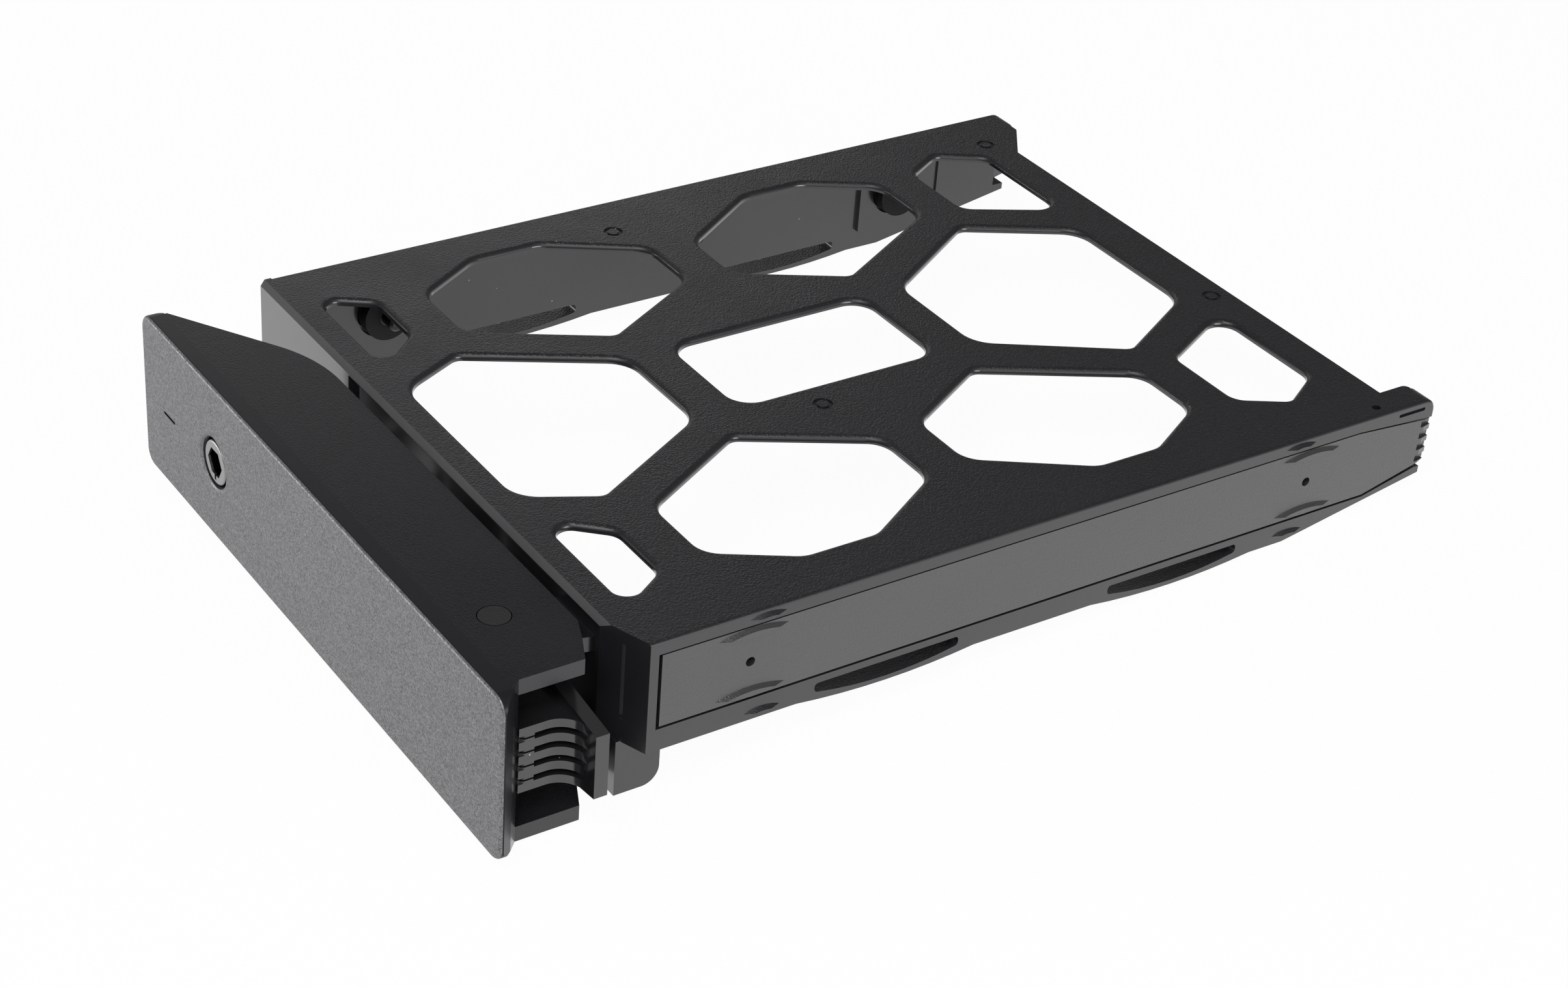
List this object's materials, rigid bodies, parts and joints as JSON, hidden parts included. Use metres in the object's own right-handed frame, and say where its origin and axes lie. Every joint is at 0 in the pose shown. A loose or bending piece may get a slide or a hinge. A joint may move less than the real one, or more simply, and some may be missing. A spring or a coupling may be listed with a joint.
{
  "type": "hot swap drive caddy",
  "caption": "Flat tray for one 3.5-inch drive with large windows, pull-off side panels whose pins hold the drive, and a swinging lever handle with a ribbed hook and a key lock.",
  "frame": {"origin": "middle of the tray's front plane, on the outer face of the plate", "axes": "+X to the hook's side, +Y back from the handle into the bay, +Z out of the plate's outer face"},
  "size_m": [0.1193, 0.1665, 0.0281],
  "materials": {
    "tray_plastic": "fine leather grain",
    "panel_plastic": "satin",
    "lever_plastic": "fine grain",
    "hook_plastic": "gloss",
    "pin_plastic": "satin",
    "washer_plastic": "natural",
    "face_paint": "metallic grey paint",
    "steel": "zinc plated",
    "lock_metal": "satin die casting",
    "rubber": "matte"
  },
  "bodies": {
    "tray": {"tray_frame": "tray_plastic"},
    "handle": {"handle_face": "face_paint", "handle_lever": "lever_plastic", "cam_hook": "hook_plastic", "hinge_pin": "pin_plastic", "pivot_clip": "steel", "friction_washer": "washer_plastic", "lock_barrel": "lock_metal", "lock_nut": "steel"},
    "lock": {"lock_plug": "lock_metal", "lock_cam": "steel", "cam_screw": "steel"},
    "right_panel": {"retaining_panel_right": "panel_plastic", "drive_pin_right_front": "steel", "drive_pin_right_rear": "steel", "grommet_right_front": "rubber", "grommet_right_rear": "rubber"},
    "left_panel": {"retaining_panel_left": "panel_plastic", "drive_pin_left_front": "steel", "drive_pin_left_rear": "steel", "grommet_left_front": "rubber", "grommet_left_rear": "rubber"}
  },
  "joints": [
    {"name": "handle_hinge", "type": "hinge", "parent": "tray", "child": "handle", "pos_m": [0.0401, -0.0112, -0.01465], "axis": [0, 0, 1], "range_deg": [0, 20.5]},
    {"name": "lock_turn", "type": "hinge", "parent": "handle", "child": "lock", "pos_m": [-0.0322, -0.0122, -0.01465], "axis": [0, 1, 0], "range_deg": [0, 90]},
    {"name": "right_panel_pull", "type": "slide", "parent": "tray", "child": "right_panel", "axis": [1, 0, 0], "range_m": [0, 0.012]},
    {"name": "left_panel_pull", "type": "slide", "parent": "tray", "child": "left_panel", "axis": [-1, 0, 0], "range_m": [0, 0.012]}
  ]
}
